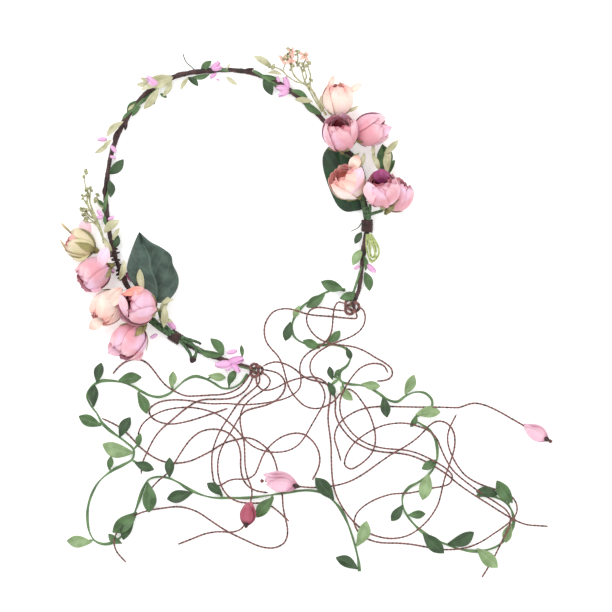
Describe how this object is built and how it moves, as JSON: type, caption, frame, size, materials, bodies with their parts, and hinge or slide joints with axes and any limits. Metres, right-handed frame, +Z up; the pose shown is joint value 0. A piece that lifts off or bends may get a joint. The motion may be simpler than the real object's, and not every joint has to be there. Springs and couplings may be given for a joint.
{
  "type": "flower crown",
  "caption": "Open wire flower crown bound with tape, with flower buds and leaves at both temples, and long trailing leaf vines and twisted cords that tie at the back.",
  "frame": {"origin": "middle of the crown's footprint on the surface it lies on, measured without the cords and vines", "axes": "+Z up from the surface through the head opening, +Y to the front of the ring, opposite the gap where its two ends are tied"},
  "size_m": [0.324, 0.3481, 0.0357],
  "materials": {
    "calyx": "matte",
    "cord": "matte",
    "leaf_dark": "satin",
    "leaf_green": "satin",
    "petal_cream": "satin",
    "petal_olive": "satin",
    "petal_pink": "satin",
    "petal_rose": "satin",
    "sprig": "matte",
    "stem": "matte",
    "tape": "matte",
    "wire": "satin"
  },
  "bodies": {
    "root": {"band_tape": "tape", "bud_a_calyx": "calyx", "bud_a_petals": "petal_olive", "bud_b_petals": "petal_pink", "bud_c_petals": "petal_cream", "bud_d_heart": "petal_rose", "bud_d_petals": "petal_pink", "bud_d_stem": "stem", "bud_e_calyx": "calyx", "bud_e_petals": "petal_pink", "bud_f_calyx": "calyx", "bud_f_petals": "petal_cream", "bud_g_heart": "petal_rose", "bud_g_petals": "petal_pink", "bud_g_stem": "stem", "bud_h_petals": "petal_pink", "bud_i_heart": "petal_rose", "bud_i_petals": "petal_cream", "bud_i_stem": "stem", "bud_j_heart": "petal_rose", "bud_j_petals": "petal_pink", "bud_j_stem": "stem", "bud_k_petals": "petal_pink", "charm_knot_end": "cord", "charm_knot_pink": "cord", "cord_a": "cord", "cord_b": "cord", "cord_c": "cord", "cord_d": "cord", "cord_e": "cord", "cord_f": "cord", "cord_g": "cord", "cord_h": "cord", "cord_k": "cord", "cord_loop_left": "cord", "cord_m": "cord", "cord_n": "cord", "cord_o": "cord", "cord_p": "cord", "cord_short_left": "cord", "core_wire": "wire", "knot_left": "tape", "knot_right": "tape", "leaf_left": "leaf_dark", "leaf_right": "leaf_dark", "leaf_side": "leaf_green", "petal_charm_end": "petal_pink", "petal_charm_pink": "petal_pink", "petal_charm_rose": "petal_pink", "sprig_left": "sprig", "sprig_right": "sprig", "stem_fold_left": "stem", "stem_fold_right": "stem", "vine_left": "leaf_green", "vine_right": "leaf_green", "wrap_left": "tape", "wrap_right": "tape"}
  },
  "joints": []
}
